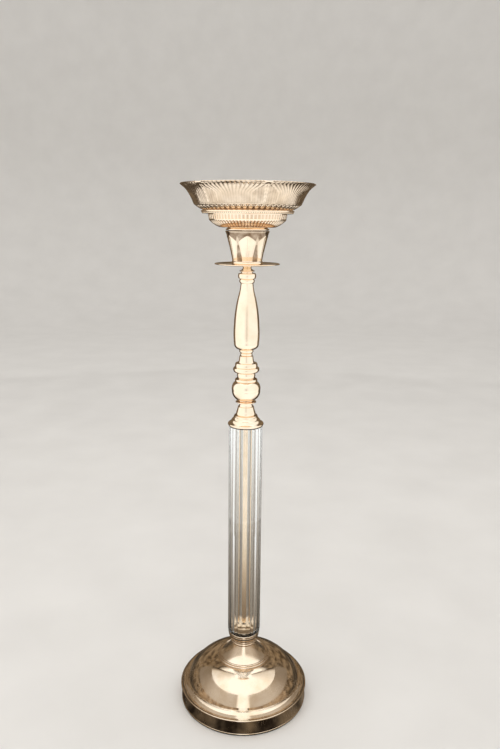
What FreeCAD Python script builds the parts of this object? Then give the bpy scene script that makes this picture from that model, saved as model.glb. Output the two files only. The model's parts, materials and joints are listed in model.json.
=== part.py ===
import FreeCAD, Part
import math
import os

from FreeCAD import Vector

# Tall silver-plated candlestick: a weighted spun base, a reeded glass column, a turned
# stem, a drip pan, a flared candle cup, and a footed bowl whose peg stands in the cup.
# Millimetres. +Z is up, and the origin is on the floor at the centre of the base.
# Every turned piece is drawn as half of its cross-section, point by point, as
# (radius, height), and turned about the Z axis.

# ---------------------------------------------------------------- driving dimensions
SHEET = 1.5             # spun and pressed sheet
CAST = 2.6              # wall of the hollow baluster
RUNNING_GAP = 0.05      # radial clearance of the bush in its socket and of the peg in the bush
REST_GAP = 0.3          # air between the bowl's pieces and what they stand over

ROD_R = 4.0             # M8 tie rod, from the base to the candle cup
ROD_HOLE_R = 4.2
ROD_SLEEVE_R = 5.4
NUT_FLATS = 13.0
NUT_HEIGHT = 6.5
WASHER = 1.6
CLAMP_PLATE = 3.0

BASE_R = 101.3          # foot of the skirt
LIP_R = 102.4           # lip over the skirt, the widest part of the base
LIP_Z = 26.8
GROOVE_R = 88.7         # step between the rolled shoulder and the dome
GROOVE_Z = 36.6
DOME_TOP_R = 42.7       # where the riser's beads stand on the dome
DOME_TOP_Z = 71.3
FELT = 1.2
FOOT_WIRE_R = 1.1       # wires rolled into the foot and the lip of the base
LIP_WIRE_R = 1.3

RISER_FOOT_R = 37.0
RISER_FOOT_Z = 76.2
RISER_TOP_R = 19.7
FERRULE_R = 24.8
BOSS_HEIGHT = 20.0      # locating boss inside the foot of the glass
GASKET = 1.2
GLASS_R = 25.7          # over the crests of the reeds
GLASS_BORE_R = 19.4
GLASS_REEDS = 24
REED_DEPTH = 0.9

CAP_R = 27.2
KNOP_R = 19.7
BULB_R = 21.2
BALUSTER_R = 19.2
PAN_R = 46.9
CUP_FOOT_R = 21.4
CUP_RIM_R = 31.8

# Levels at which each piece of the column and the stem stands on the one below.
COLLAR_Z = 96.6
FERRULE_Z = 104.5
FERRULE_TOP_Z = 117.0
GLASS_TOP_Z = 462.1
CAP_Z = GLASS_TOP_Z + GASKET
NECK_BLOCK_Z = 478.4
NECK_DISC_Z = 492.2
BULB_Z = 501.8
BULB_RING_Z = 530.4
KNOP_RING_Z = 534.8
KNOP_Z = 544.2
BALUSTER_RINGS_Z = 569.2
BALUSTER_Z = 579.2
BALUSTER_COLLAR_Z = 676.2
STEM_BLOCK_Z = 682.8
STEM_DISC_Z = 690.4
PAN_NECK_Z = 698.0
PAN_Z = 701.4
GADROON_Z = 703.0
CUP_Z = 707.8
CUP_RIM_Z = 749.8

SOCKET_BORE_R = 11.05   # takes a standard 22 mm candle, or the bowl's bush
SOCKET_WALL = 1.6
SOCKET_HEIGHT = 37.5
PEG_R = 8.95
PEG_LENGTH = 23.3

SCREW_R = 3.0
SCREW_HOLE_R = 3.2
BOWL_FOOT_R = 31.0
BOWL_FOOT_HEIGHT = 4.0
BOWL_CUP_R = 56.0
BOWL_CUP_TOP_Z = 773.8
GIRDLE_R = 66.4
GIRDLE_TOP_Z = 778.8
BAND_TOP_R = 76.0
BAND_TOP_Z = 786.3
RIM_R = 95.3
RIM_Z = 813.8           # outer edge; the sheet's inner edge stands a little higher


# ---------------------------------------------------------------- drawing
class Outline:
    """Half-section drawn from point to point and turned about the Z axis."""

    def __init__(self, r, z):
        self.start = Vector(r, 0, z)
        self.here = self.start
        self.edges = []

    def line(self, r, z):
        there = Vector(r, 0, z)
        self.edges.append(Part.LineSegment(self.here, there).toShape())
        self.here = there
        return self

    def arc(self, r, z, bulge):
        """Arc whose middle stands off its chord by bulge, to the right of the way it goes."""
        there = Vector(r, 0, z)
        along = there - self.here
        right = Vector(along.z, 0, -along.x).normalize()
        middle = (self.here + there) * 0.5 + right * bulge
        self.edges.append(Part.Arc(self.here, middle, there).toShape())
        self.here = there
        return self

    def solid(self):
        """Turns the closed outline."""
        self.line(self.start.x, self.start.z)
        return turn(self.edges)

    def sheet(self, thickness):
        """Turns sheet metal that has the drawn line as its outer face."""
        corners = [inner_corner(self.edges, i, thickness) for i in range(len(self.edges) + 1)]
        inner = []
        for i, edge in reversed(list(enumerate(self.edges))):
            if isinstance(edge.Curve, Part.Line):
                piece = Part.LineSegment(corners[i + 1], corners[i])
            else:
                middle = (edge.FirstParameter + edge.LastParameter) / 2
                inward = left_of(edge.tangentAt(middle))
                piece = Part.Arc(corners[i + 1], edge.valueAt(middle) + inward * thickness, corners[i])
            inner.append(piece.toShape())
        ends = [
            Part.LineSegment(self.here, corners[-1]).toShape(),
            Part.LineSegment(corners[0], self.start).toShape(),
        ]
        return turn(self.edges + ends[:1] + inner + ends[1:])


def turn(edges):
    face = Part.Face(Part.Wire(edges))
    return face.revolve(Vector(0, 0, 0), Vector(0, 0, 1), 360)


def left_of(along):
    return Vector(-along.z, 0, along.x).normalize()


def inner_corner(edges, i, thickness):
    """Corner i of a line of edges, moved to the left by the sheet's thickness."""
    sides = []
    if i > 0:
        before = edges[i - 1]
        corner = before.valueAt(before.LastParameter)
        sides.append(left_of(before.tangentAt(before.LastParameter)))
    if i < len(edges):
        after = edges[i]
        corner = after.valueAt(after.FirstParameter)
        sides.append(left_of(after.tangentAt(after.FirstParameter)))
    if len(sides) == 1:
        return corner + sides[0] * thickness
    reach = max(0.4, 1 + sides[0].dot(sides[1]))
    return corner + (sides[0] + sides[1]) * (thickness / reach)


def ring(inner_r, outer_r, low_z, high_z):
    """Flat ring with square edges."""
    outline = Outline(inner_r, low_z).line(outer_r, low_z).line(outer_r, high_z)
    return outline.line(inner_r, high_z).solid()


def bead(inner_r, outer_r, low_z, high_z, crown):
    """Ring whose outer face is rounded and stands out by crown."""
    edge_r = outer_r - crown
    outline = Outline(inner_r, low_z).line(edge_r, low_z)
    return outline.arc(edge_r, high_z, crown).line(inner_r, high_z).solid()


def nut(low_z):
    """Hexagon nut on the rod, with its corners turned off."""
    corner_r = NUT_FLATS / math.sqrt(3)
    corners = []
    for i in range(7):
        angle = math.radians(60 * i)
        corners.append(Vector(corner_r * math.cos(angle), corner_r * math.sin(angle), low_z))
    prism = Part.Face(Part.makePolygon(corners)).extrude(Vector(0, 0, NUT_HEIGHT))
    blank = Part.makeCylinder(0.96 * corner_r, NUT_HEIGHT, Vector(0, 0, low_z))
    bore = Part.makeCylinder(ROD_R, NUT_HEIGHT, Vector(0, 0, low_z))
    return prism.common(blank).cut(bore).Solids[0]


# ---------------------------------------------------------------- base
PLATE_Z = FELT + SHEET
DOME_FLAT_Z = DOME_TOP_Z + 1.0              # flat top of the dome, inside the riser
CLAMP_Z = DOME_FLAT_Z - SHEET - CLAMP_PLATE
LOWER_NUT_Z = CLAMP_Z - WASHER - NUT_HEIGHT


def felt_pad():
    return ring(16.0, BASE_R - 1.1, 0.0, FELT)


def bottom_plate():
    return ring(16.0, BASE_R - 2.2, FELT, PLATE_Z).cut(base_shell()).Solids[0]


def base_weight():
    """Cast-iron ring that stands on the bottom plate, inside the skirt."""
    return ring(56.0, 95.0, PLATE_Z, LIP_Z - 6.0)


def base_shell():
    """Spun shell: skirt, rolled shoulder, step and dome, with wired foot and lip."""
    outline = Outline(BASE_R - 0.6, FELT + 0.2)
    outline.arc(LIP_R - 1.8, LIP_Z - 1.0, -0.4)
    outline.line(LIP_R - 1.4, LIP_Z)
    outline.arc(GROOVE_R + 1.2, GROOVE_Z - 1.0, 2.2)
    outline.line(GROOVE_R, GROOVE_Z + 1.4)
    outline.arc(DOME_TOP_R, DOME_TOP_Z, 6.4)
    outline.arc(RISER_FOOT_R - 4.0, DOME_FLAT_Z, 0.2)
    outline.line(ROD_HOLE_R + 8.0, DOME_FLAT_Z)
    foot = Part.makeTorus(BASE_R - FOOT_WIRE_R, FOOT_WIRE_R, Vector(0, 0, FELT + FOOT_WIRE_R))
    lip = Part.makeTorus(LIP_R - LIP_WIRE_R, LIP_WIRE_R, Vector(0, 0, LIP_Z - LIP_WIRE_R))
    return outline.sheet(SHEET).fuse([foot, lip]).Solids[0]


def base_riser():
    """Concave cone with two beads round its foot, standing on the dome."""
    z = DOME_TOP_Z
    inner_r = RISER_FOOT_R - 2.0
    outline = Outline(inner_r, z - 0.5).line(DOME_TOP_R - 1.0, z - 0.5)
    outline.line(DOME_TOP_R - 1.0, z + 0.4)
    outline.arc(DOME_TOP_R - 3.0, z + 2.9, 1.4)
    outline.arc(RISER_FOOT_R + 0.6, RISER_FOOT_Z, 0.9)
    outline.line(RISER_FOOT_R - 0.4, RISER_FOOT_Z - 0.5)
    outline.arc(RISER_TOP_R, COLLAR_Z, -1.5)
    outline.line(ROD_HOLE_R, COLLAR_Z).line(ROD_HOLE_R, COLLAR_Z - SHEET)
    outline.line(RISER_TOP_R - SHEET, COLLAR_Z - SHEET)
    outline.arc(inner_r, z + 2.0, 1.5)
    return outline.solid().cut(base_shell()).Solids[0]


def clamp_plate():
    """Thick disc under the dome that the lower nut pulls against."""
    return ring(ROD_HOLE_R, 26.0, CLAMP_Z, CLAMP_Z + CLAMP_PLATE)


def lower_washer():
    return ring(ROD_HOLE_R, 10.0, CLAMP_Z - WASHER, CLAMP_Z)


def lower_nut():
    return nut(LOWER_NUT_Z)


# ---------------------------------------------------------------- glass column
def column_collar():
    """Two rounded rings between the riser and the ferrule."""
    z = COLLAR_Z
    outline = Outline(ROD_HOLE_R, z).line(19.6, z)
    outline.arc(19.8, z + 3.6, 1.1)
    outline.line(19.6, z + 4.0)
    outline.arc(20.0, FERRULE_Z, 1.2)
    return outline.line(ROD_HOLE_R, FERRULE_Z).solid()


def column_ferrule():
    """Seat with a beaded rim under the glass and a domed boss that centres it."""
    top_z = FERRULE_TOP_Z + BOSS_HEIGHT
    outline = Outline(ROD_HOLE_R, FERRULE_Z).line(21.0, FERRULE_Z)
    outline.arc(FERRULE_R - 0.9, FERRULE_Z + 8.0, 1.2)
    outline.line(FERRULE_R - 1.3, FERRULE_Z + 8.4)
    outline.arc(FERRULE_R - 0.8, FERRULE_TOP_Z, 1.3)
    outline.line(GLASS_BORE_R - 0.7, FERRULE_TOP_Z)
    outline.line(GLASS_BORE_R - 1.0, top_z - 9.0)
    outline.arc(ROD_SLEEVE_R + 2.5, top_z, 2.6)
    outline.line(ROD_HOLE_R, top_z)
    return outline.solid()


def lower_gasket():
    z = FERRULE_TOP_Z
    return ring(GLASS_BORE_R - 0.4, FERRULE_R - 0.9, z, z + GASKET)


def glass_column():
    """Clear tube with round reeds all the way down its outside."""
    low_z = FERRULE_TOP_Z + GASKET
    height = GLASS_TOP_Z - low_z
    step = 2 * math.pi / GLASS_REEDS
    reeds = []
    for i in range(GLASS_REEDS):
        before = radial(GLASS_R - REED_DEPTH, (i - 0.5) * step, low_z)
        crest = radial(GLASS_R, i * step, low_z)
        after = radial(GLASS_R - REED_DEPTH, (i + 0.5) * step, low_z)
        reeds.append(Part.Arc(before, crest, after).toShape())
    blank = Part.Face(Part.Wire(reeds)).extrude(Vector(0, 0, height))
    bore = Part.makeCylinder(GLASS_BORE_R, height, Vector(0, 0, low_z))
    return blank.cut(bore).Solids[0]


def radial(r, angle, z):
    return Vector(r * math.cos(angle), r * math.sin(angle), z)


def upper_gasket():
    return ring(GLASS_BORE_R + 0.4, GLASS_R - 0.9, GLASS_TOP_Z, CAP_Z)


def rod_sleeve():
    """Bright tube round the rod, from the boss to the cap, seen through the glass."""
    return ring(ROD_HOLE_R, ROD_SLEEVE_R, FERRULE_TOP_Z + BOSS_HEIGHT, CAP_Z)


def column_cap():
    """Flared brim over the glass, rising in two sweeps to the neck block."""
    z = CAP_Z
    outline = Outline(ROD_HOLE_R, z).line(CAP_R - 1.2, z)
    outline.arc(CAP_R - 1.6, z + 3.6, 1.3)
    outline.arc(21.8, z + 7.6, -0.6)
    outline.line(21.2, z + 8.6)
    outline.arc(18.2, z + 13.0, -0.5)
    outline.line(17.4, z + 13.6).line(17.4, NECK_BLOCK_Z)
    return outline.line(ROD_HOLE_R, NECK_BLOCK_Z).solid()


# ---------------------------------------------------------------- turned stem
def neck_block():
    """Tapered block that stands on the cap."""
    z = NECK_BLOCK_Z
    outline = Outline(ROD_HOLE_R, z).line(14.3, z)
    outline.arc(14.5, z + 4.4, 0.4)
    outline.arc(12.1, NECK_DISC_Z - 0.6, -0.3)
    return outline.line(11.5, NECK_DISC_Z).line(ROD_HOLE_R, NECK_DISC_Z).solid()


def neck_disc():
    """Short neck with a thin sharp-edged disc round its middle."""
    z = NECK_DISC_Z
    outline = Outline(ROD_HOLE_R, z).line(10.4, z).arc(10.6, z + 5.0, -0.5)
    outline.line(14.6, z + 6.0).arc(14.6, z + 7.6, 0.8)
    outline.line(10.6, z + 8.4).line(10.6, BULB_Z)
    return outline.line(ROD_HOLE_R, BULB_Z).solid()


def bulb():
    outline = Outline(ROD_HOLE_R, BULB_Z).line(12.0, BULB_Z)
    outline.arc(BULB_R, BULB_Z + 15.6, 2.9)
    outline.arc(16.4, BULB_RING_Z, 2.1)
    return outline.line(ROD_HOLE_R, BULB_RING_Z).solid()


def bulb_ring():
    return bead(ROD_HOLE_R, 16.9, BULB_RING_Z, KNOP_RING_Z, 1.3)


def knop_ring():
    """Plain ring between the bulb and the stepped knop, with a groove under it."""
    z = KNOP_RING_Z
    outline = Outline(ROD_HOLE_R, z).line(12.2, z).line(12.2, z + 1.5)
    outline.line(13.2, z + 2.0).arc(13.4, KNOP_Z - 1.0, 0.4)
    return outline.line(12.6, KNOP_Z).line(ROD_HOLE_R, KNOP_Z).solid()


def stepped_knop():
    """Three steps, each narrower than the one under it."""
    z = KNOP_Z
    outline = Outline(ROD_HOLE_R, z).line(15.6, z)
    outline.arc(KNOP_R - 0.3, z + 3.4, 0.8)
    outline.arc(KNOP_R - 1.2, z + 7.6, 0.6)
    outline.line(16.6, z + 8.0)
    outline.arc(15.9, z + 14.4, 0.6)
    outline.line(11.9, z + 14.9)
    outline.arc(10.2, BALUSTER_RINGS_Z, -0.2)
    return outline.line(ROD_HOLE_R, BALUSTER_RINGS_Z).solid()


def baluster_rings():
    """Two small rings under the baluster."""
    z = BALUSTER_RINGS_Z
    outline = Outline(ROD_HOLE_R, z).line(8.2, z)
    outline.arc(8.4, z + 4.0, 0.9)
    outline.line(9.0, z + 4.8)
    outline.arc(9.4, BALUSTER_Z, 1.3)
    return outline.line(ROD_HOLE_R, BALUSTER_Z).solid()


def baluster():
    """Hollow pear, widest near its foot, tapering to a slim neck."""
    z = BALUSTER_Z
    outline = Outline(ROD_HOLE_R, z).line(12.0, z)
    outline.arc(BALUSTER_R - 0.8, z + 8.8, 1.9)
    outline.arc(BALUSTER_R - 0.5, z + 35.6, 0.7)
    outline.arc(13.0, z + 77.0, 1.1)
    outline.arc(9.1, BALUSTER_COLLAR_Z, -0.5)
    blank = outline.line(ROD_HOLE_R, BALUSTER_COLLAR_Z).solid()
    hollow = Outline(ROD_HOLE_R + 1.2, z + 4.0).line(12.0, z + 4.0)
    hollow.arc(BALUSTER_R - 0.8 - CAST, z + 12.6, 1.2)
    hollow.arc(BALUSTER_R - 0.5 - CAST, z + 35.6, 0.5)
    hollow.arc(13.0 - CAST, z + 77.0, 1.1)
    return blank.cut(hollow.line(ROD_HOLE_R + 1.2, z + 82.0).solid()).Solids[0]


def baluster_collar():
    return bead(ROD_HOLE_R, 11.2, BALUSTER_COLLAR_Z, STEM_BLOCK_Z, 1.4)


def stem_block():
    z = STEM_BLOCK_Z
    outline = Outline(ROD_HOLE_R, z).line(11.8, z).arc(12.7, z + 1.2, 0.3)
    outline.arc(12.7, STEM_DISC_Z - 1.2, 0.4).arc(11.6, STEM_DISC_Z, 0.3)
    return outline.line(ROD_HOLE_R, STEM_DISC_Z).solid()


def stem_disc():
    """Small disc with a cone above it, over a recessed neck."""
    z = STEM_DISC_Z
    outline = Outline(ROD_HOLE_R, z).line(8.6, z).line(8.6, z + 2.0)
    outline.line(10.4, z + 2.8).arc(10.4, z + 4.0, 0.6)
    outline.arc(5.8, PAN_NECK_Z, -0.5)
    return outline.line(ROD_HOLE_R, PAN_NECK_Z).solid()


# ---------------------------------------------------------------- drip pan and candle cup
def pan_neck():
    """Cone that flares up to carry the pan."""
    outline = Outline(ROD_HOLE_R, PAN_NECK_Z).line(5.6, PAN_NECK_Z)
    outline.arc(13.0, PAN_Z, -0.9)
    return outline.line(ROD_HOLE_R, PAN_Z).solid()


def drip_pan():
    """Shallow dish with a rounded edge."""
    outline = Outline(ROD_HOLE_R, PAN_Z).line(26.0, PAN_Z)
    outline.arc(PAN_R - 0.8, PAN_Z + 1.6, 0.3)
    outline.arc(PAN_R - 1.0, PAN_Z + 3.2, 0.9)
    outline.arc(25.6, GADROON_Z, -0.3)
    return outline.line(ROD_HOLE_R, GADROON_Z).solid()


def gadroon_ring():
    """Ring of upright lobes round the cup's foot."""
    z = GADROON_Z
    outline = Outline(ROD_HOLE_R, z).line(21.6, z)
    outline.arc(22.0, CUP_Z - 0.4, 1.0)
    return outline.line(21.0, CUP_Z).line(ROD_HOLE_R, CUP_Z).solid()


def candle_cup():
    """Flared sheet cup with a flat floor on the gadroon ring."""
    outline = Outline(ROD_HOLE_R, CUP_Z).line(CUP_FOOT_R, CUP_Z)
    outline.arc(CUP_RIM_R, CUP_RIM_Z, -1.0)
    return outline.sheet(SHEET)


SOCKET_Z = CUP_Z + SHEET
SOCKET_FLOOR = 2.0
SOCKET_TOP_Z = SOCKET_Z + SOCKET_HEIGHT
UPPER_NUT_Z = SOCKET_Z + SOCKET_FLOOR + WASHER


def candle_socket():
    """Tube in the middle of the cup, with a floor that the upper nut clamps."""
    outer_r = SOCKET_BORE_R + SOCKET_WALL
    floor_z = SOCKET_Z + SOCKET_FLOOR
    outline = Outline(ROD_HOLE_R, SOCKET_Z).line(outer_r, SOCKET_Z)
    outline.line(outer_r, SOCKET_TOP_Z).line(SOCKET_BORE_R, SOCKET_TOP_Z)
    return outline.line(SOCKET_BORE_R, floor_z).line(ROD_HOLE_R, floor_z).solid()


def upper_washer():
    return ring(ROD_HOLE_R, 8.4, UPPER_NUT_Z - WASHER, UPPER_NUT_Z)


def upper_nut():
    return nut(UPPER_NUT_Z)


def tie_rod():
    """Threaded rod that draws every piece together between the two nuts."""
    low_z = LOWER_NUT_Z - 3.0
    high_z = UPPER_NUT_Z + NUT_HEIGHT + 2.5
    outline = Outline(0, low_z).line(ROD_R - 0.8, low_z).line(ROD_R, low_z + 0.8)
    outline.line(ROD_R, high_z - 0.8).line(ROD_R - 0.8, high_z)
    return outline.line(0, high_z).solid()


# ---------------------------------------------------------------- bowl
BOWL_FOOT_Z = CUP_RIM_Z + SHEET / 2 + REST_GAP
BOWL_FLOOR_Z = BOWL_FOOT_Z + BOWL_FOOT_HEIGHT
BUSH_INNER_R = PEG_R + RUNNING_GAP
BUSH_OUTER_R = SOCKET_BORE_R - RUNNING_GAP
BUSH_LIP_Z = SOCKET_TOP_Z + REST_GAP
BUSH_LIP = 2.2


def peg_bush():
    """Rubber bush that grips the socket; the bowl's peg turns in it."""
    low_z = BOWL_FOOT_Z - PEG_LENGTH + 0.5
    outline = Outline(BUSH_INNER_R, low_z).line(BUSH_OUTER_R - 0.8, low_z)
    outline.line(BUSH_OUTER_R, low_z + 1.2)
    outline.line(BUSH_OUTER_R, BUSH_LIP_Z).line(13.6, BUSH_LIP_Z)
    outline.arc(13.6, BUSH_LIP_Z + BUSH_LIP, 0.6)
    return outline.line(BUSH_INNER_R, BUSH_LIP_Z + BUSH_LIP).solid()


def bowl_foot():
    """Turned foot with a rounded edge, standing over the cup's rim."""
    z = BOWL_FOOT_Z
    outline = Outline(SCREW_HOLE_R, z).line(BOWL_FOOT_R - 0.9, z)
    outline.arc(BOWL_FOOT_R - 0.9, z + 2.4, 0.9)
    outline.arc(BOWL_FOOT_R - 2.6, BOWL_FLOOR_Z, -0.4)
    return outline.line(SCREW_HOLE_R, BOWL_FLOOR_Z).solid()


def bowl_peg():
    """Round peg under the foot, tapped for the bowl's screw."""
    low_z = BOWL_FOOT_Z - PEG_LENGTH
    thread_z = BOWL_FOOT_Z - 14.0
    outline = Outline(0, low_z).line(PEG_R - 1.2, low_z)
    outline.line(PEG_R, low_z + 1.2).line(PEG_R, BOWL_FOOT_Z)
    outline.line(SCREW_R, BOWL_FOOT_Z).line(SCREW_R, thread_z)
    return outline.line(0, thread_z).solid()


def bowl_lower():
    """Pressed cup under the bowl: flat floor, spreading underside and upright side."""
    z = BOWL_FLOOR_Z
    outline = Outline(SCREW_HOLE_R, z).line(36.5, z)
    outline.arc(51.8, z + 8.0, 1.2)
    outline.arc(54.8, z + 12.4, 0.7)
    outline.arc(BOWL_CUP_R, BOWL_CUP_TOP_Z, 0.1)
    return outline.sheet(SHEET)


def bowl_girdle():
    """Projecting double bead where the lower cup meets the upper bowl."""
    z = BOWL_CUP_TOP_Z
    inner_r = BOWL_CUP_R - 3.0
    outline = Outline(inner_r, z).line(GIRDLE_R - 2.8, z)
    outline.arc(GIRDLE_R - 1.8, z + 1.9, 0.8)
    outline.arc(GIRDLE_R - 1.4, GIRDLE_TOP_Z - 0.4, 1.3)
    outline.line(GIRDLE_R - 2.6, GIRDLE_TOP_Z)
    return outline.line(inner_r, GIRDLE_TOP_Z).solid().cut(bowl_lower()).Solids[0]


def bowl_band():
    """Sloping band of small stamped leaves between the girdle and the flare."""
    outline = Outline(GIRDLE_R - 3.4, GIRDLE_TOP_Z).arc(BAND_TOP_R, BAND_TOP_Z, 0.5)
    return outline.sheet(SHEET)


def bowl_upper():
    """Flared upper bowl that rises from the band to the rim."""
    outline = Outline(BAND_TOP_R, BAND_TOP_Z)
    outline.arc(85.2, BAND_TOP_Z + 18.5, -0.7)
    outline.arc(RIM_R, RIM_Z, -0.7)
    return outline.sheet(SHEET).cut(bowl_band()).Solids[0]


def bowl_washer():
    return ring(SCREW_HOLE_R, 11.0, BOWL_FLOOR_Z + SHEET, BOWL_FLOOR_Z + SHEET + WASHER)


def bowl_screw():
    """Slotted round-head screw from inside the bowl into the peg."""
    tip_z = BOWL_FOOT_Z - 12.0
    head_z = BOWL_FLOOR_Z + SHEET + WASHER
    outline = Outline(0, tip_z).line(SCREW_R, tip_z).line(SCREW_R, head_z)
    outline.line(6.0, head_z).line(6.0, head_z + 1.4).arc(2.4, head_z + 3.9, 0.9)
    blank = outline.line(0, head_z + 3.9).solid()
    slot = Part.makeBox(14.0, 1.4, 2.0, Vector(-7.0, -0.7, head_z + 2.2))
    return blank.cut(slot).Solids[0]


# ---------------------------------------------------------------- output
PIECES = (
    felt_pad, bottom_plate, base_weight, base_shell, base_riser, clamp_plate,
    lower_washer, lower_nut, column_collar, column_ferrule, lower_gasket, glass_column,
    upper_gasket, rod_sleeve, column_cap, neck_block, neck_disc, bulb, bulb_ring,
    knop_ring, stepped_knop, baluster_rings, baluster, baluster_collar, stem_block,
    stem_disc, pan_neck, drip_pan, gadroon_ring, candle_cup, candle_socket,
    upper_washer, upper_nut, tie_rod, peg_bush, bowl_foot, bowl_peg, bowl_lower,
    bowl_girdle, bowl_band, bowl_upper, bowl_washer, bowl_screw,
)


def main():
    os.makedirs("parts", exist_ok=True)
    for piece in PIECES:
        shape = piece()
        shape.exportStep(f"parts/{piece.__name__}.step")
        box = shape.optimalBoundingBox(False, False)
        print(f"{piece.__name__:16} {shape.ShapeType:6} valid {shape.isValid()} "
              f"volume {shape.Volume:10.1f} z {box.ZMin:7.2f} to {box.ZMax:7.2f}")


main()
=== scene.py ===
import json
import math

import bmesh
import bpy
import numpy as np
from mathutils import Matrix, Vector


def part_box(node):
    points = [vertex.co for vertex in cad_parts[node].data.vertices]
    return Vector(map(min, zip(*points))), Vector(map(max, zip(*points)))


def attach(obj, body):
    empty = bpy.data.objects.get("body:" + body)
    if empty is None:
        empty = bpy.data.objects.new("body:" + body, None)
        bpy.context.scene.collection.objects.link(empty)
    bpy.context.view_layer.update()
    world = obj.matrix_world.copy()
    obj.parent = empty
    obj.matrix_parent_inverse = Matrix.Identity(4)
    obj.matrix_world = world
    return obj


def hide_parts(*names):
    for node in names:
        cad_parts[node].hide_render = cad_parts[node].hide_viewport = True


# Looks of the tall candlestick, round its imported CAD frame. Metres and radians.
# The CAD's turned pieces are turned again here from their own cross-sections, finer and
# with softened edges. The bowl and the cup get their pressed pattern on top of that.
# The metal and the glass reflect cards and cloths that nothing else sees. The floor has
# a lamp of its own.

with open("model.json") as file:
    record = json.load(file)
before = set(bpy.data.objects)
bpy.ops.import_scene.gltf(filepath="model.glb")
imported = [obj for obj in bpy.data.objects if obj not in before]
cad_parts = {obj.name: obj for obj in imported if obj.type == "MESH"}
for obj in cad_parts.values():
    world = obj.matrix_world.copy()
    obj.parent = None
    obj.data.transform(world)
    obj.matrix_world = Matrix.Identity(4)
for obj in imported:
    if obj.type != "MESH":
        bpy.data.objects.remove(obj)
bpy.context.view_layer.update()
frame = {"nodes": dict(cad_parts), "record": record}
record = frame["record"]

MM = 0.001
TAU = 2 * math.pi
HOLD = 0.25 * MM        # how far past a soft corner its neighbours are held flat
FINE = 240              # steps round the base
MEDIUM = 160            # steps round the column and the stem

FANS = 6                # fans round the bowl, with a narrow leaf between each two
FAN_ANGLE = math.radians(-103.5)    # middle of the fan that faces the camera
RIBS = 6.5              # ribs in half a fan
FAN_EDGE = 0.84         # half width of a fan at the rim, as a share of its sixth
FINE_REEDS = 22         # faint reeds beside each fan
FLUTES = 66             # flutes and gadroons round the lower cup
BAND_LEAVES = 54        # small leaves of the stamped band
CUP_LEAVES = 6          # leaves round the candle cup
GADROONS = 36           # lobes of the ring at the cup's foot
REEDS = 24              # reeds of the glass, as in the CAD

WARM_LIGHT = (1.0, 0.80, 0.58, 1)       # colour of the cards where they are dim
WHITE_LIGHT = (1.0, 1.02, 1.02, 1)      # and where they are bright


# ---------------------------------------------------------------- the CAD's own facts
def node_facts():
    """Body and material slot of each CAD node."""
    bodies = {n: body for body, nodes in record["behaviour"]["bodies"].items() for n in nodes}
    slots = {part["node"]: part["material_slot"] for part in record["subparts"]}
    return bodies, slots


BODY_OF, SLOT_OF = node_facts()


def section(node):
    """Cross-section of a turned CAD node: (radius, height) points, anticlockwise."""
    cut = bmesh.new()
    cut.from_mesh(frame["nodes"][node].data)
    bmesh.ops.remove_doubles(cut, verts=cut.verts, dist=1e-7)
    found = bmesh.ops.bisect_plane(
        cut, geom=cut.verts[:] + cut.edges[:] + cut.faces[:], dist=1e-7,
        plane_co=(0, 0, 0), plane_no=(0, 1, 0),
    )
    beside = {}
    for item in found["geom_cut"]:
        if isinstance(item, bmesh.types.BMEdge) and all(v.co.x > 0 for v in item.verts):
            a, b = item.verts
            beside.setdefault(a, []).append(b)
            beside.setdefault(b, []).append(a)
    start = min(beside, key=lambda v: (v.co.z, v.co.x))
    path = [start, beside[start][0]]
    while True:
        ahead = [v for v in beside[path[-1]] if v is not path[-2]]
        if ahead[0] is start:
            break
        path.append(ahead[0])
    points = np.array([(v.co.x, v.co.z) for v in path])
    cut.free()
    return points if area(points) > 0 else points[::-1]


def area(points):
    after = np.roll(points, -1, axis=0)
    return 0.5 * float(np.sum(points[:, 0] * after[:, 1] - after[:, 0] * points[:, 1]))


def turns(points):
    """Length of the side after each point, and how far the outline turns at the point."""
    side = np.roll(points, -1, axis=0) - points
    length = np.hypot(side[:, 0], side[:, 1])
    heading = np.arctan2(side[:, 1], side[:, 0])
    turn = (heading - np.roll(heading, 1) + math.pi) % TAU - math.pi
    return length, turn


def refined(points, step=math.radians(3)):
    """Puts more points on the outline's arcs, which the CAD cuts into equal sides."""
    points = points[turns(points)[0] > 1e-6]
    length, turn = turns(points)
    before = np.roll(length, 1)
    on_arc = (abs(before - length) < 0.02 * length) & (abs(turn) < math.radians(18))
    fine = []
    for i, here in enumerate(points):
        fine.append(here)
        j = (i + 1) % len(points)
        bend = turn[i] if on_arc[i] else turn[j] if on_arc[j] else 0.0
        parts = int(abs(bend) // step) + 1
        if parts < 2:
            continue
        along = points[j] - here
        right = np.array([along[1], -along[0]])
        for k in range(1, parts):
            at = k / parts - 0.5
            rise = (math.cos(bend * at) - math.cos(bend / 2)) / (2 * math.sin(bend / 2))
            across = math.sin(bend * at) / (2 * math.sin(bend / 2))
            fine.append(here + along * (0.5 + across) + right * rise)
    return np.array(fine)


def softened(points, radius, sharp=math.radians(20)):
    """Rounds the outline's corners and holds the flats beside them."""
    length, turn = turns(points)
    soft = []
    for i, here in enumerate(points):
        if abs(turn[i]) < sharp:
            soft.append(here)
            continue
        behind = points[i - 1] - here
        ahead = points[(i + 1) % len(points)] - here
        room_b, room_a = length[i - 1], length[i]
        reach = min(radius * math.tan(min(abs(turn[i]), 2.0) / 2), 0.4 * room_b, 0.4 * room_a)
        hold = reach + HOLD
        if room_b > 4 * hold:
            soft.append(here + behind * (hold / room_b))
        first = here + behind * (reach / room_b)
        last = here + ahead * (reach / room_a)
        for t in np.linspace(0, 1, 6):
            soft.append(first * (1 - t) ** 2 + here * 2 * t * (1 - t) + last * t ** 2)
        if room_a > 4 * hold:
            soft.append(here + ahead * (hold / room_a))
    return np.array(soft)


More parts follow.
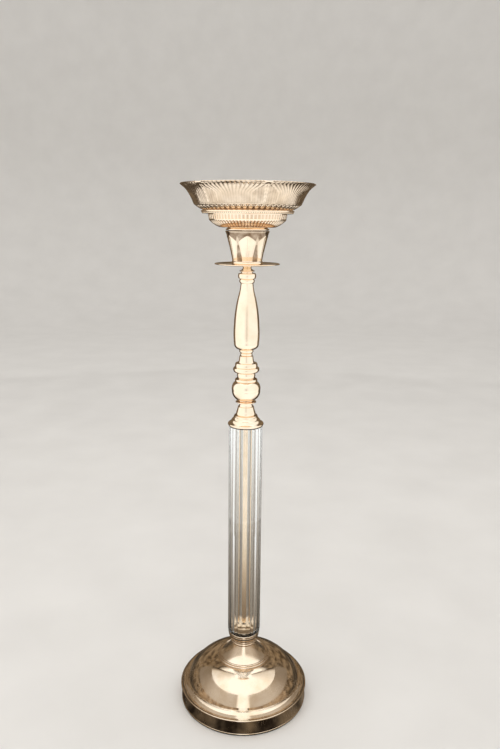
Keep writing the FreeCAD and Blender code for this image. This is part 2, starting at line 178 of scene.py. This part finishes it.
def divided(points, longest):
    """Divides the outline's long sides, so that a relief can be put on them."""
    length, _ = turns(points)
    fine = []
    for i, here in enumerate(points):
        ahead = points[(i + 1) % len(points)]
        parts = max(1, math.ceil(length[i] / longest))
        fine += [here + (ahead - here) * (k / parts) for k in range(parts)]
    return np.array(fine)


# ---------------------------------------------------------------- turning and pressing
def normals_of(points):
    """Outward normal at each point of an anticlockwise outline."""
    side = np.roll(points, -1, axis=0) - points
    side /= np.maximum(np.hypot(side[:, 0], side[:, 1]), 1e-9)[:, None]
    along = side + np.roll(side, 1, axis=0)
    out = np.stack([along[:, 1], -along[:, 0]], axis=1)
    return out / np.maximum(np.hypot(out[:, 0], out[:, 1]), 1e-9)[:, None]


def outer_face(points):
    """The points of a sheet's outer face, from its foot up, and their normals."""
    _, turn = turns(points)
    corners = [i for i in range(len(points)) if abs(turn[i]) > math.radians(35)]
    best = None
    for a, b in zip(corners, corners[1:] + [corners[0] + len(points)]):
        if b - a < 3:
            continue
        index = [k % len(points) for k in range(a, b + 1)]
        face = points[index]
        out = normals_of(points)[index][1:-1].mean(axis=0)
        size = np.hypot(*(face[1:] - face[:-1]).T).sum()
        score = size * (out[0] - out[1])
        if best is None or score > best[0]:
            best = (score, face)
    face = best[1]
    along = np.gradient(face, axis=0)
    out = np.stack([along[:, 1], -along[:, 0]], axis=1)
    out /= np.hypot(out[:, 0], out[:, 1])[:, None]
    return face, out


def spin(name, points, steps, relief=None, face=None, depth=1.0):
    """Mesh turned from an outline. relief(angle, share, radius, height) is how far the
    face stands out at each angle and share of the way up the outer face."""
    angle = np.arange(steps) * TAU / steps
    count = len(points)
    radius = np.repeat(points[:, 0][:, None], steps, axis=1)
    height = np.repeat(points[:, 1][:, None], steps, axis=1)
    stand = np.zeros((count, steps))
    if relief is not None:
        outline, out = face
        run = np.concatenate([[0], np.cumsum(np.hypot(*(outline[1:] - outline[:-1]).T))])
        gap = np.hypot(
            points[:, 0][:, None] - outline[:, 0], points[:, 1][:, None] - outline[:, 1]
        )
        near = gap.argmin(axis=1)
        share = (run / run[-1])[near]
        fade = np.clip(1.5 - gap.min(axis=1) / depth, 0, 1)
        stand = relief(
            angle[None, :], share[:, None], outline[near, 0][:, None], outline[near, 1][:, None]
        )
        stand = np.broadcast_to(stand, (count, steps)) * fade[:, None]
        radius = radius + stand * out[near, 0][:, None]
        height = height + stand * out[near, 1][:, None]
    spots = np.stack([radius * np.cos(angle), radius * np.sin(angle), height], axis=2)
    return mesh_piece(name, spots.reshape(-1, 3), tube_faces(count, steps), stand.reshape(-1))


def tube_faces(count, steps):
    """Faces between count rings of steps points each, the last ring joined to the first."""
    rows, cols = np.meshgrid(np.arange(count), np.arange(steps), indexing="ij")
    up = (rows + 1) % count
    beside = (cols + 1) % steps
    quads = np.stack(
        [rows * steps + cols, rows * steps + beside, up * steps + beside, up * steps + cols],
        axis=2,
    )
    return quads.reshape(-1, 4)


def mesh_piece(name, spots, faces, stand=None):
    """Smooth mesh that also carries how deep each point lies in the relief, 0 to 1."""
    mesh = bpy.data.meshes.new(name)
    mesh.from_pydata(spots.tolist(), [], faces.tolist())
    mesh.shade_smooth()
    if stand is not None:
        low, high = float(stand.min()), float(stand.max())
        hollow = np.clip((high - stand) / max(high - low, 1e-6), 0, 1)
        if high - low < 1e-6:
            hollow[:] = 0
        mesh.attributes.new("hollow", "FLOAT", "POINT").data.foreach_set(
            "value", hollow.astype(np.float32)
        )
    piece = bpy.data.objects.new(name, mesh)
    bpy.context.scene.collection.objects.link(piece)
    return piece


def stand_for(piece, node, material):
    """Puts a fine piece in the place of its CAD node."""
    piece.data.materials.append(material)
    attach(piece, BODY_OF[node])
    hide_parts(node)
    return piece


def turned(node, material, steps=MEDIUM, edge=0.35 * MM):
    """Turned piece, finer than its CAD node and with its edges rounded to about edge."""
    outline = softened(refined(section(node)), edge)
    return stand_for(spin("turned_" + node, outline, steps), node, material)


def pressed(node, material, relief, steps, grain, depth, edge=0.3 * MM):
    """Turned piece with a relief on its outer face. Within depth the metal follows it."""
    sharp = refined(section(node))
    face, out = outer_face(divided(sharp, grain))
    outline = divided(softened(sharp, edge), grain)
    piece = spin("pressed_" + node, outline, steps, relief, (face, out), depth)
    return stand_for(piece, node, material)


# ---------------------------------------------------------------- reliefs
def smooth(low, high, value):
    """0 below low, 1 above high and a soft step between."""
    t = np.clip((value - low) / (high - low), 0, 1)
    return t * t * (3 - 2 * t)


def window(low, high, edge, value):
    """1 from low to high, falling to 0 over edge on either side."""
    return smooth(low - edge, low, value) * (1 - smooth(high, high + edge, value))


def across(angle, count, middle=0.0):
    """Place across one of count equal parts round the axis: -1 to 1, 0 in its middle."""
    part = TAU / count
    return ((angle - middle + part / 2) % part - part / 2) / (part / 2)


def lobe(phase):
    """Round ridge with a sharp groove on each side, 0 to 1."""
    return np.sqrt(np.clip(1 - phase ** 2, 0, 1))


def wave(phase):
    """Ridge with a wide groove on each side, 0 to 1."""
    return 0.5 + 0.5 * np.cos(math.pi * phase)


def rib_at(q):
    """Height of a fan's ribs, 0 to 1, at a place across the fan."""
    return lobe(2 * ((q * RIBS) % 1) - 1)


def fan_relief(angle, share, radius, height):
    """Fans of ribs that curl outwards under the rim, and a narrow leaf between fans."""
    s = across(angle, FANS, FAN_ANGLE)
    spread = 0.55 + 0.32 * smooth(0.40, 0.86, share)        # the fans open upwards
    q = s / spread                                          # -1 to 1 across a fan
    grooves = (1 - rib_at(q)) * (0.25 + 0.75 * smooth(0.3, 0.75, share))
    top = 0.955 - 0.05 * np.clip(abs(q), 0, 1) ** 2
    in_fan = window(-1.0, 1.0, 0.04, q) * window(0.03, top, 0.03, share)
    fan = in_fan * (0.05 + (0.55 + 0.45 * share) * (1 - grooves))
    reeds = 0.40 + 0.20 * lobe(across(angle, FANS * FINE_REEDS))
    field = (1 - in_fan) * reeds * window(0.03, 0.9, 0.05, share)
    border = 0.35 * window(0.97, 1.05, 0.05, abs(q)) * window(0.1, 0.95, 0.03, share)
    side = (1 - abs(s)) / (0.06 + 0.075 * share ** 1.6)     # 0 to 1 from the leaf's middle
    vein = 0.35 * np.exp(-(side / 0.16) ** 2)
    veins = 0.12 * np.cos(40 * share + 3.0 * side) * (side < 1)
    leaf = lobe(np.clip(side, -1, 1)) * window(0.05, 0.97, 0.03, share) * (1 - vein + veins)
    ground = 0.35 * window(0, 0.97, 0.02, share)
    return (np.maximum(fan + field + border * (1 - in_fan), leaf) - ground) * MM


def rim_relief(angle, share, radius, height):
    """The fans, with a rolled rim that swells over the ribs and the leaves."""
    s = across(angle, FANS, FAN_ANGLE)
    q = s / FAN_EDGE
    over_leaf = lobe(np.clip((1 - abs(s)) / 0.13, -1, 1))
    swell = np.maximum(0.45 * rib_at(q) * (abs(q) < 1), 1.2 * over_leaf)
    rim = (0.25 + swell) * window(0.975, 1.2, 0.02, share) * 0.7 * MM
    return fan_relief(angle, share, radius, height) + rim


def band_relief(angle, share, radius, height):
    """Row of small upright leaves with a bead between each two, under a row of arcs."""
    p = across(angle, BAND_LEAVES)
    up = (share - 0.44) / 0.36                              # -1 to 1 up a leaf
    half_width = 0.74 * lobe(np.clip(up, -1, 1)) + 1e-3
    vein = 0.55 * np.exp(-(p / 0.12) ** 2)
    leaf = lobe(np.clip(p / half_width, -1, 1)) * (abs(up) < 1) * (1 - vein)
    gap = across(angle, BAND_LEAVES, TAU / BAND_LEAVES / 2)
    bead = lobe(np.clip(np.hypot(gap / 0.28, (share - 0.70) / 0.10), 0, 1))
    arcs = window(0.86, 0.97, 0.03, share + 0.05 * gap ** 2)
    pattern = 0.95 * leaf + 0.7 * bead + 0.7 * arcs - 0.55
    return pattern * window(0.05, 0.97, 0.03, share) * MM


def girdle_relief(angle, share, radius, height):
    """Fine milling on the lower of the two beads."""
    low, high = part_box("bowl_girdle")[0].z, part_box("bowl_girdle")[1].z
    on_lower = window(low + 0.1 * MM, low + 1.7 * MM, 0.2 * MM, height)
    on_face = smooth(radius.max() - 4.5 * MM, radius.max() - 3 * MM, radius)
    return (lobe(across(angle, 2 * FLUTES)) - 1) * 0.5 * MM * on_lower * on_face


def flute_relief(angle, share, radius, height):
    """Gadroons under the lower cup, pointed where they end, and flutes up its side."""
    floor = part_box("bowl_lower")[0].z
    p = across(angle, FLUTES)
    point = floor + (11.2 - 2.2 * abs(p)) * MM              # where each gadroon ends
    gadroon = (0.4 * lobe(p) + 0.6 * wave(p) - 0.65) * 1.3 * MM
    under = smooth(37 * MM, 40 * MM, radius) * (1 - smooth(point - 0.5 * MM, point, height))
    flute = (0.45 - lobe(across(angle, FLUTES, TAU / FLUTES / 2))) * 0.7 * MM
    side = window(floor + 12.0 * MM, floor + 17.6 * MM, 0.5 * MM, height)
    ledge = 0.45 * MM * window(point, floor + 11.6 * MM, 0.25 * MM, height)
    return gadroon * under + flute * side + ledge


def gadroon_relief(angle, share, radius, height):
    """Upright lobes between the ring's two plain edges."""
    low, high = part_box("gadroon_ring")[0].z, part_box("gadroon_ring")[1].z
    tall = window(low + 0.5 * MM, high - 0.9 * MM, 0.5 * MM, height)
    ridge = across(angle, GADROONS)
    return (0.3 * lobe(ridge) + 0.7 * wave(ridge) - 1) * 1.3 * MM * tall


def leaf_relief(angle, share, radius, height):
    """Pointed leaves that wrap the cup, side by side, with a vein up each."""
    front = -TAU / 4
    p = across(angle, CUP_LEAVES, front)
    point = 0.86 - 0.22 * abs(p) ** 1.2
    width = 0.70 + 0.28 * smooth(0.0, 0.75, share)
    edge = smooth(0.0, 0.09, width - abs(p)) * (1 - smooth(point - 0.02, point, share))
    crown = 1 - 0.25 * (p / width) ** 2
    vein = 0.35 * np.exp(-(p / 0.03) ** 2) * (1 - smooth(0.70, 0.85, share))
    between = across(angle, CUP_LEAVES, front + TAU / CUP_LEAVES / 2)
    tip = 0.84 - 0.9 * abs(between)
    second = 0.45 * smooth(0.0, 0.03, tip - share + 0.02) * (share > 0.55)
    ground = 0.3 * window(0.02, 0.95, 0.02, share)
    return (0.75 * np.maximum(edge * (crown - vein), second) - ground) * MM


# ---------------------------------------------------------------- materials
def new_material(name):
    material = bpy.data.materials.new(name)
    material.use_nodes = True
    nodes = material.node_tree.nodes
    return material, nodes, material.node_tree.links, nodes["Principled BSDF"]


def noise(nodes, links, scale, detail, stretch=None, turn=0.0, rough=0.5):
    """Noise over the object's own coordinates, stretched along Z after a turn if asked."""
    place = nodes.new("ShaderNodeTexCoord")
    source = place.outputs["Object"]
    if stretch is not None:
        mapping = nodes.new("ShaderNodeMapping")
        mapping.inputs["Scale"].default_value = stretch
        mapping.inputs["Rotation"].default_value = (turn, 0.6 * turn, 1.7 * turn)
        links.new(source, mapping.inputs["Vector"])
        source = mapping.outputs["Vector"]
    texture = nodes.new("ShaderNodeTexNoise")
    texture.inputs["Scale"].default_value = scale
    texture.inputs["Detail"].default_value = detail
    texture.inputs["Roughness"].default_value = rough
    links.new(source, texture.inputs["Vector"])
    return texture.outputs["Fac"]


def remap(nodes, links, value, low, high, to_low, to_high):
    """Takes low..high to to_low..to_high, and holds the ends."""
    node = nodes.new("ShaderNodeMapRange")
    for socket, number in zip(("From Min", "From Max", "To Min", "To Max"),
                              (low, high, to_low, to_high)):
        node.inputs[socket].default_value = number
    links.new(value, node.inputs["Value"])
    return node.outputs["Result"]


def feed(links, sockets, values):
    """Links each value that is a socket and sets each that is not."""
    for socket, value in zip(sockets, values):
        if isinstance(value, bpy.types.NodeSocket):
            links.new(value, socket)
        else:
            socket.default_value = value


def mixed(nodes, links, share, first, second):
    node = nodes.new("ShaderNodeMix")
    node.data_type = "RGBA"
    factor, colour_a, colour_b = (node.inputs[i] for i in (0, 6, 7))
    feed(links, (factor, colour_a, colour_b), (share, first, second))
    return node.outputs[2]


def maths(nodes, links, operation, first, second):
    node = nodes.new("ShaderNodeMath")
    node.operation = operation
    feed(links, node.inputs, (first, second))
    return node.outputs[0]


def bump(nodes, links, shader, height, strength, distance):
    """Relief too fine for the mesh, in the shading only."""
    node = nodes.new("ShaderNodeBump")
    node.inputs["Strength"].default_value = strength
    node.inputs["Distance"].default_value = distance
    links.new(height, node.inputs["Height"])
    links.new(node.outputs["Normal"], shader.inputs["Normal"])


def silver(name, wear, hollow_shade=0.0, polish=0.07, dark=(0.14, 0.075, 0.035)):
    """Warm-toned silver plate: cloudy wiping marks, scratches by wear, painted shade in hollows.
    """
    material, nodes, links, shader = new_material(name)
    bright = (0.93, 0.77, 0.60, 1)
    dull = (0.80, 0.62, 0.43, 1)
    cloud = remap(nodes, links, noise(nodes, links, 38, 5), 0.42, 0.72, 0.0, 0.5 + 0.5 * wear)
    colour = mixed(nodes, links, cloud, bright, dull)
    # Painted shade: the colour goes towards dark where the relief lies deep, as shade would fall
    # in the hollows.
    if hollow_shade:
        hollow = nodes.new("ShaderNodeAttribute")
        hollow.attribute_name = "hollow"
        deep = remap(nodes, links, hollow.outputs["Fac"], 0.35, 1.0, 0.0, hollow_shade)
        uneven = remap(nodes, links, noise(nodes, links, 120, 4), 0.3, 0.65, 0.55, 1.0)
        shaded = maths(nodes, links, "MULTIPLY", deep, uneven)
        colour = mixed(nodes, links, shaded, colour, (*dark, 1))
    links.new(colour, shader.inputs["Base Color"])
    scratches = None
    long_and_thin = (14.0, 14.0, 0.35)
    for turn, scale in ((0.5, 55), (1.3, 70), (2.2, 60), (2.9, 85)):
        line = noise(nodes, links, scale, 2, long_and_thin, turn)
        line = remap(nodes, links, line, 0.66, 0.70, 0.0, 1.0)
        scratches = line if scratches is None else maths(nodes, links, "MAXIMUM", scratches, line)
    where = remap(nodes, links, noise(nodes, links, 22, 2), 0.45, 0.62, 0.0, wear)
    scratches = maths(nodes, links, "MULTIPLY", scratches, where)
    wiped = noise(nodes, links, 60, 6, rough=0.65)
    smear = remap(nodes, links, wiped, 0.45, 0.75, polish, polish + 0.14)
    rough = maths(nodes, links, "ADD", smear, maths(nodes, links, "MULTIPLY", scratches, 0.3))
    links.new(rough, shader.inputs["Roughness"])
    shader.inputs["Metallic"].default_value = 1.0
    dents = noise(nodes, links, 30, 3)
    surface = maths(nodes, links, "SUBTRACT", maths(nodes, links, "MULTIPLY", dents, 0.5),
                    maths(nodes, links, "MULTIPLY", scratches, 0.12))
    bump(nodes, links, shader, surface, 0.22, 0.0006)
    return material


def clear_glass(name):
    """Clear pressed glass, a little wavy inside its reeds."""
    material, nodes, links, shader = new_material(name)
    shader.inputs["Base Color"].default_value = (0.98, 0.972, 0.95, 1)
    shader.inputs["Transmission Weight"].default_value = 1.0
    shader.inputs["IOR"].default_value = 1.5
    film = remap(nodes, links, noise(nodes, links, 45, 5, (1, 1, 0.25)), 0.45, 0.8, 0.0, 0.10)
    links.new(film, shader.inputs["Roughness"])
    ripple = noise(nodes, links, 60, 2, (1.0, 1.0, 0.12))
    bump(nodes, links, shader, ripple, 0.10, 0.0008)
    return material


def plain(name, colours, scale, roughness, metallic=0.0, relief=0.3, distance=0.0003,
          stretch=None):
    """Everyday material: two colours in a noise, uneven roughness and a fine surface."""
    material, nodes, links, shader = new_material(name)
    grain = noise(nodes, links, scale, 5, stretch)
    share = remap(nodes, links, grain, 0.3, 0.7, 0.0, 1.0)
    links.new(mixed(nodes, links, share, *[(*c, 1) for c in colours]), shader.inputs["Base Color"])
    links.new(remap(nodes, links, grain, 0.3, 0.7, *roughness), shader.inputs["Roughness"])
    shader.inputs["Metallic"].default_value = metallic
    bump(nodes, links, shader, grain, relief, distance)
    return material


def make_materials():
    """One material for each CAD slot, and a few more for single silver pieces."""
    return {
        "silver_base": silver("silver_base", wear=1.0),
        "silver_riser": silver("silver_riser", wear=0.2, polish=0.14),
        "silver_stem": silver("silver_stem", wear=0.35),
        # The cup, the bowl, the band and the gadroons get painted shade in the hollows of their
        # relief; the gadroons' is orange-brown.
        "silver_cup": silver("silver_cup", wear=0.3, hollow_shade=0.95),
        "silver_bowl": silver("silver_bowl", wear=0.3, hollow_shade=1.0),
        "silver_band": silver("silver_band", wear=0.3, hollow_shade=1.0),
        "silver_gadroon": silver("silver_gadroon", wear=0.3, hollow_shade=1.0,
                                 dark=(0.46, 0.22, 0.08)),
        "silver_sleeve": silver("silver_sleeve", wear=0.2),
        "clear_glass": clear_glass("clear_glass"),
        "gasket_rubber": plain("gasket_rubber", ((0.02, 0.018, 0.015), (0.045, 0.04, 0.035)),
                               400, (0.5, 0.75)),
        "bush_rubber": plain("bush_rubber", ((0.04, 0.03, 0.025), (0.08, 0.07, 0.06)),
                             300, (0.5, 0.8)),
        "steel_hardware": plain("steel_hardware", ((0.42, 0.41, 0.40), (0.62, 0.61, 0.59)), 90,
                                (0.25, 0.45), metallic=1.0, stretch=(1, 1, 12)),
        "iron_weight": plain("iron_weight", ((0.05, 0.048, 0.045), (0.12, 0.11, 0.10)), 160,
                             (0.55, 0.85), metallic=0.6, relief=0.8, distance=0.001),
        "felt": plain("felt", ((0.03, 0.05, 0.035), (0.09, 0.13, 0.10)), 1800, (0.9, 1.0),
                      relief=1.0, distance=0.0006),
    }


# ---------------------------------------------------------------- pieces
def dress_cad(materials):
    """Gives every CAD node the material of its slot."""
    for node, shape in frame["nodes"].items():
        for slot in shape.material_slots:
            slot.material = materials[SLOT_OF[node]]


def build_turned(materials):
    """The spun and turned pieces that show."""
    turned("base_shell", materials["silver_base"], FINE, 0.4 * MM)
    turned("base_riser", materials["silver_riser"], FINE, 0.4 * MM)
    for node in ("column_collar", "column_ferrule", "column_cap"):
        turned(node, materials["silver_base"])
    for node in ("neck_block", "neck_disc", "bulb", "bulb_ring", "knop_ring", "stepped_knop",
                 "baluster_rings", "baluster", "baluster_collar", "stem_block", "stem_disc",
                 "pan_neck", "drip_pan"):
        turned(node, materials["silver_stem"])
    turned("bowl_foot", materials["silver_bowl"])
    turned("candle_socket", materials["silver_cup"])
    turned("rod_sleeve", materials["silver_sleeve"], 64)
    for node in ("lower_gasket", "upper_gasket"):
        turned(node, materials["gasket_rubber"], edge=0.3 * MM)


def build_pressed(materials):
    """Steps round, grain and depth: sheet metal follows its relief through to the inside."""
    through, skin = 3 * MM, 0.5 * MM
    for node, material, relief, steps, grain, depth in (
        ("bowl_upper", "silver_bowl", rim_relief, 792, 1.0 * MM, through),
        ("bowl_band", "silver_band", band_relief, 16 * BAND_LEAVES, 0.6 * MM, through),
        ("bowl_girdle", "silver_bowl", girdle_relief, 12 * FLUTES, 0.6 * MM, skin),
        ("bowl_lower", "silver_gadroon", flute_relief, 12 * FLUTES, 0.75 * MM, through),
        ("gadroon_ring", "silver_gadroon", gadroon_relief, 16 * GADROONS, 0.5 * MM, skin),
        ("candle_cup", "silver_cup", leaf_relief, 72 * CUP_LEAVES, 0.8 * MM, through),
    ):
        pressed(node, materials[material], relief, steps, grain, depth)


def build_glass(material):
    """Reeded tube with softened ends, in the place of the CAD's."""
    low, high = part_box("glass_column")
    bore = section("glass_column")[:, 0].min()
    crest = high.x
    groove = crest - 0.9 * MM
    steps = REEDS * 14
    bend = TAU / REEDS / 2                      # half the angle one reed takes
    rise = crest - groove * math.cos(bend)
    half = groove * math.sin(bend)
    reed = (half ** 2 + rise ** 2) / (2 * rise)     # radius of a reed's own arc
    ease = 0.5 * MM                             # softening of the tube's ends
    levels = ((low.z, ease), (low.z + 0.15 * MM, 0.2 * MM), (low.z + ease, 0.0),
              (low.z + ease + 0.3 * MM, 0.0), (low.z + ease + 1.2 * MM, 0.0))
    levels += tuple((low.z + high.z - z, cut) for z, cut in reversed(levels))
    angle = np.arange(steps) * TAU / steps
    off = (angle + bend) % (2 * bend) - bend
    middle = crest - reed
    outside = middle * np.cos(off) + np.sqrt(reed ** 2 - (middle * np.sin(off)) ** 2)
    rings = [(outside - cut, z) for z, cut in levels]
    rings += [(np.full(steps, bore) + cut, z) for z, cut in reversed(levels)]
    spots = np.concatenate([
        np.stack([r * np.cos(angle), r * np.sin(angle), np.full(steps, z)], axis=1)
        for r, z in rings
    ])
    piece = mesh_piece("reeded_glass_column", spots, tube_faces(len(rings), steps))
    stand_for(piece, "glass_column", material)


# ---------------------------------------------------------------- stage, lights, camera
def build_floor():
    """Round pale floor that sweeps up to a wall, far round the object."""
    flat, sweep, wall_top = 4.0, 1.5, 6.0
    points = [(0.0, 0.0), (2.5, 0.0), (flat, 0.0)]
    for k in range(1, 13):
        turn = k / 12 * math.pi / 2
        points.append((flat + sweep * math.sin(turn), sweep - sweep * math.cos(turn)))
    points.append((flat + sweep, wall_top))
    steps = 96
    spots = [(0.0, 0.0, 0.0)]
    for r, z in points[1:]:
        spots += [(r * math.cos(TAU * j / steps), r * math.sin(TAU * j / steps), z)
                  for j in range(steps)]
    faces = [(0, 1 + j, 1 + (j + 1) % steps) for j in range(steps)]
    for i in range(len(points) - 2):
        low, high = 1 + i * steps, 1 + (i + 1) * steps
        faces += [(low + j, high + j, high + (j + 1) % steps, low + (j + 1) % steps)
                  for j in range(steps)]
    mesh = bpy.data.meshes.new("floor")
    mesh.from_pydata(spots, [], faces)
    mesh.shade_smooth()
    floor = bpy.data.objects.new("floor", mesh)
    bpy.context.scene.collection.objects.link(floor)
    pale = ((0.70, 0.69, 0.675), (0.74, 0.73, 0.715))
    floor.data.materials.append(plain("pale_floor", pale, 6, (0.7, 0.85), relief=0.05))


def emissive(name, colour_of, strength_of=None):
    """Emission material; each argument makes a socket from the node tree."""
    material = bpy.data.materials.new(name)
    material.use_nodes = True
    nodes, links = material.node_tree.nodes, material.node_tree.links
    glow = nodes.new("ShaderNodeEmission")
    links.new(colour_of(nodes, links), glow.inputs["Color"])
    if strength_of is not None:
        links.new(strength_of(nodes, links), glow.inputs["Strength"])
    links.new(glow.outputs[0], nodes["Material Output"].inputs["Surface"])
    return material


def hang(mesh, material):
    """Studio card that only reflections and the glass see."""
    piece = bpy.data.objects.new(mesh.name, mesh)
    bpy.context.scene.collection.objects.link(piece)
    mesh.materials.append(material)
    piece.visible_camera = False
    piece.visible_diffuse = False
    piece.visible_shadow = False
    return piece


def drape(name, colours, corners, scale=3.0):
    """Flat mottled cloth, between two colours."""
    def cloth(nodes, links):
        share = remap(nodes, links, noise(nodes, links, scale, 5), 0.40, 0.62, 0.0, 1.0)
        return mixed(nodes, links, share, *[(*c, 1) for c in colours])

    mesh = bpy.data.meshes.new(name)
    mesh.from_pydata(corners, [], [tuple(range(len(corners)))])
    hang(mesh, emissive(name, cloth))


def glow_card(name, surface, glow, sides, rises, in_metal=True, in_glass=True):
    """Lit card over surface(u, v), 0 to 1 each way, as bright as glow(u, v) at each place.
    Its dim parts are warmer. It shows in the metal, through the glass, or in both."""
    def level(nodes, links):
        at = nodes.new("ShaderNodeAttribute")
        at.attribute_name = "glow"
        return at.outputs["Fac"]

    def light(nodes, links):
        return mixed(nodes, links, level(nodes, links), WARM_LIGHT, WHITE_LIGHT)

    spots = [surface(i / sides, j / rises) for j in range(rises + 1) for i in range(sides + 1)]
    values = [glow(i / sides, j / rises) for j in range(rises + 1) for i in range(sides + 1)]
    faces = []
    for j in range(rises):
        for i in range(sides):
            corner = j * (sides + 1) + i
            faces.append((corner, corner + 1, corner + sides + 2, corner + sides + 1))
    mesh = bpy.data.meshes.new(name)
    mesh.from_pydata(spots, [], faces)
    mesh.attributes.new("glow", "FLOAT", "POINT").data.foreach_set("value", values)
    piece = hang(mesh, emissive(name, light, level))
    piece.visible_glossy = in_metal
    piece.visible_transmission = in_glass


def ramp(low, high, value):
    """smooth for one plain number."""
    return float(smooth(low, high, value))


def around(turn, r, z):
    """Place at an angle from straight in front, in degrees."""
    return r * math.sin(math.radians(turn)), -r * math.cos(math.radians(turn)), z


def build_drapes():
    """Cloths that the metal reflects: a ring of them, one overhead and one on the floor."""
    ring, top, foot, on_floor = 2.6, 3.2, -0.2, 0.0006
    steps = 12
    lit = ((0.24, 0.175, 0.115), (0.56, 0.44, 0.31))
    dim = ((0.085, 0.062, 0.040), (0.32, 0.25, 0.17))
    dark = ((0.016, 0.012, 0.009), (0.17, 0.14, 0.105))
    turns_round = [TAU * j / steps for j in range(steps)]
    circle = [(ring * math.cos(turn), ring * math.sin(turn)) for turn in turns_round]
    for j, here in enumerate(circle):
        beside = circle[(j + 1) % steps]
        behind = math.sin(TAU * (j + 0.5) / steps) > 0.2
        drape(f"drape_{j}", dim if behind else lit,
              [(*here, foot), (*beside, foot), (*beside, top), (*here, top)])
    drape("drape_over", dim, [(*place, top) for place in circle])
    drape("drape_under", dark, [(*place, on_floor) for place in circle], scale=16)


def build_glow():
    """The lit cards. Round the front stands a wall of light with a lit shelf at its foot, which
    the stem and the bowl see from above. The base sees the shelf's brown underside, its bright
    middle and the neck of light below it, and everything sees the ceiling. Three more cards, a
    wall, one at the back and one on the floor, show only in the glass. Angles in degrees."""
    reach, wall_r, shelf_z, ceiling_z = 125, 0.85, 0.30, 1.9
    glass_reach = 150
    bright = 1.3

    def turn_of(u):
        return 2 * reach * (u - 0.5)

    def ends(u):                        # fades out towards both ends
        return ramp(0, 14, reach - abs(turn_of(u)))

    def wall(u, v):
        return around(turn_of(u), wall_r, shelf_z + (ceiling_z - shelf_z) * v)

    def wall_glow(u, v):                # dimmer low in the middle and over the right half
        gap = 0.30 * math.exp(-(turn_of(u) / 12) ** 2) * (1 - ramp(0.25, 0.40, v))
        return bright * ends(u) * (1 - gap) * (0.92 if turn_of(u) > 0 else 1.0)

    def shelf(u, v, z=shelf_z, inner=0.05):
        return around(turn_of(u), inner + (wall_r - inner) * v, z)

    def shelf_glow(u, v):
        aside = ramp(60, 115, abs(turn_of(u))) * (1 - ramp(0.2, 0.6, v))
        return bright * ends(u) * (1 - 0.35 * aside)

    def shade(u, v):                    # just under the shelf, open where its middle shows
        return shelf(u, v, shelf_z - 0.003, 0.27)

    def shade_glow(u, v):
        neck = 1 - ramp(9, 14, abs(turn_of(u)))
        return 0.60 - 0.34 * ramp(50, 115, abs(turn_of(u))) + 0.7 * neck

    def neck(u, v):
        return around(20 * (u - 0.5), wall_r, shelf_z * v)

    def ceiling(u, v):
        return around(360 * u, 1.5 * v, ceiling_z)

    def behind(u, v):
        return around(180 + glass_reach * (u - 0.5), 0.6, 0.9 * v)

    def behind_glow(u, v):
        aside = ramp(6, 20, abs(glass_reach * (u - 0.5)))
        return 0.18 + 0.3 * aside + 0.6 * aside * ramp(0, 0.35, v)

    def under(u, v):
        return around(360 * u, 0.05 + 1.55 * v, 0.001)

    def under_glow(u, v):
        turn = min(360 * u, 360 - 360 * u)
        front = 1 - ramp(95, 130, turn)
        back = (0.12 + 0.36 * ramp(6, 20, 180 - turn)) * (0.65 + 0.5 * v)
        return back * (1 - front) + (0.15 + 0.95 * ramp(0.07, 0.38, v)) * front

    glow_card("glow_wall", wall, wall_glow, 100, 20, in_glass=False)
    glow_card("glass_wall", wall, lambda u, v: wall_glow(u, v) * ramp(0, 0.35, v), 100, 20,
              in_metal=False)
    glow_card("glow_shelf", shelf, shelf_glow, 100, 12, in_glass=False)
    glow_card("shade_shelf", shade, shade_glow, 200, 4, in_glass=False)
    glow_card("glow_neck", neck, lambda u, v: 1.2 * ramp(0, 0.2, u) * ramp(0, 0.2, 1 - u), 20, 2)
    glow_card("glow_ceiling", ceiling, lambda u, v: 1.4 * ramp(0, 0.25, 1 - v), 64, 12)
    glow_card("glow_behind", behind, behind_glow, 90, 20, in_metal=False)
    glow_card("glow_under", under, under_glow, 180, 12, in_metal=False)


def build_lights():
    """Large lamp and plain surroundings for the floor; the metal reflects the cards instead."""
    near_white = (1.0, 0.98, 0.95)
    light = bpy.data.lights.new("floor_light", "AREA")
    light.shape = "RECTANGLE"
    light.size = light.size_y = 2.5
    light.energy = 28
    light.color = near_white
    lamp = bpy.data.objects.new("floor_light", light)
    lamp.location = (-0.3, -0.4, 3.0)
    lamp.rotation_euler = (-lamp.location).to_track_quat("-Z", "Y").to_euler()
    lamp.visible_camera = False
    lamp.visible_glossy = False
    bpy.context.scene.collection.objects.link(lamp)
    world = bpy.data.worlds.new("studio")
    world.use_nodes = True
    backdrop = world.node_tree.nodes["Background"]
    backdrop.inputs["Color"].default_value = (*near_white, 1)
    backdrop.inputs["Strength"].default_value = 1.2
    bpy.context.scene.world = world


def build_camera():
    """Eye level with the bowl, about a metre away, tipped down to take in the base."""
    pitch, yaw, roll = math.radians(12.64), math.radians(0.33), math.radians(0.6)
    level = Vector((math.sin(yaw), math.cos(yaw), 0))
    ahead = level * math.cos(pitch) - Vector((0, 0, math.sin(pitch)))
    right = Vector((math.cos(yaw), -math.sin(yaw), 0))
    up = right.cross(ahead)
    tilted_right = right * math.cos(roll) + up * math.sin(roll)
    tilted_up = up * math.cos(roll) - right * math.sin(roll)
    turn = Matrix((tilted_right, tilted_up, -ahead)).transposed()
    eye = (0, -0.989, 0.7625)
    lens = bpy.data.cameras.new("camera")
    lens.lens = 32.68
    lens.sensor_width = 36.0
    lens.clip_start = 0.01
    camera = bpy.data.objects.new("camera", lens)
    camera.matrix_world = Matrix.Translation(eye) @ turn.to_4x4()
    bpy.context.scene.collection.objects.link(camera)
    bpy.context.scene.camera = camera


materials = make_materials()
dress_cad(materials)
build_turned(materials)
build_pressed(materials)
build_glass(materials["clear_glass"])
build_floor()
build_drapes()
build_glow()
build_lights()
build_camera()
bpy.context.scene.view_settings.view_transform = "Standard"

bpy.context.view_layer.update()
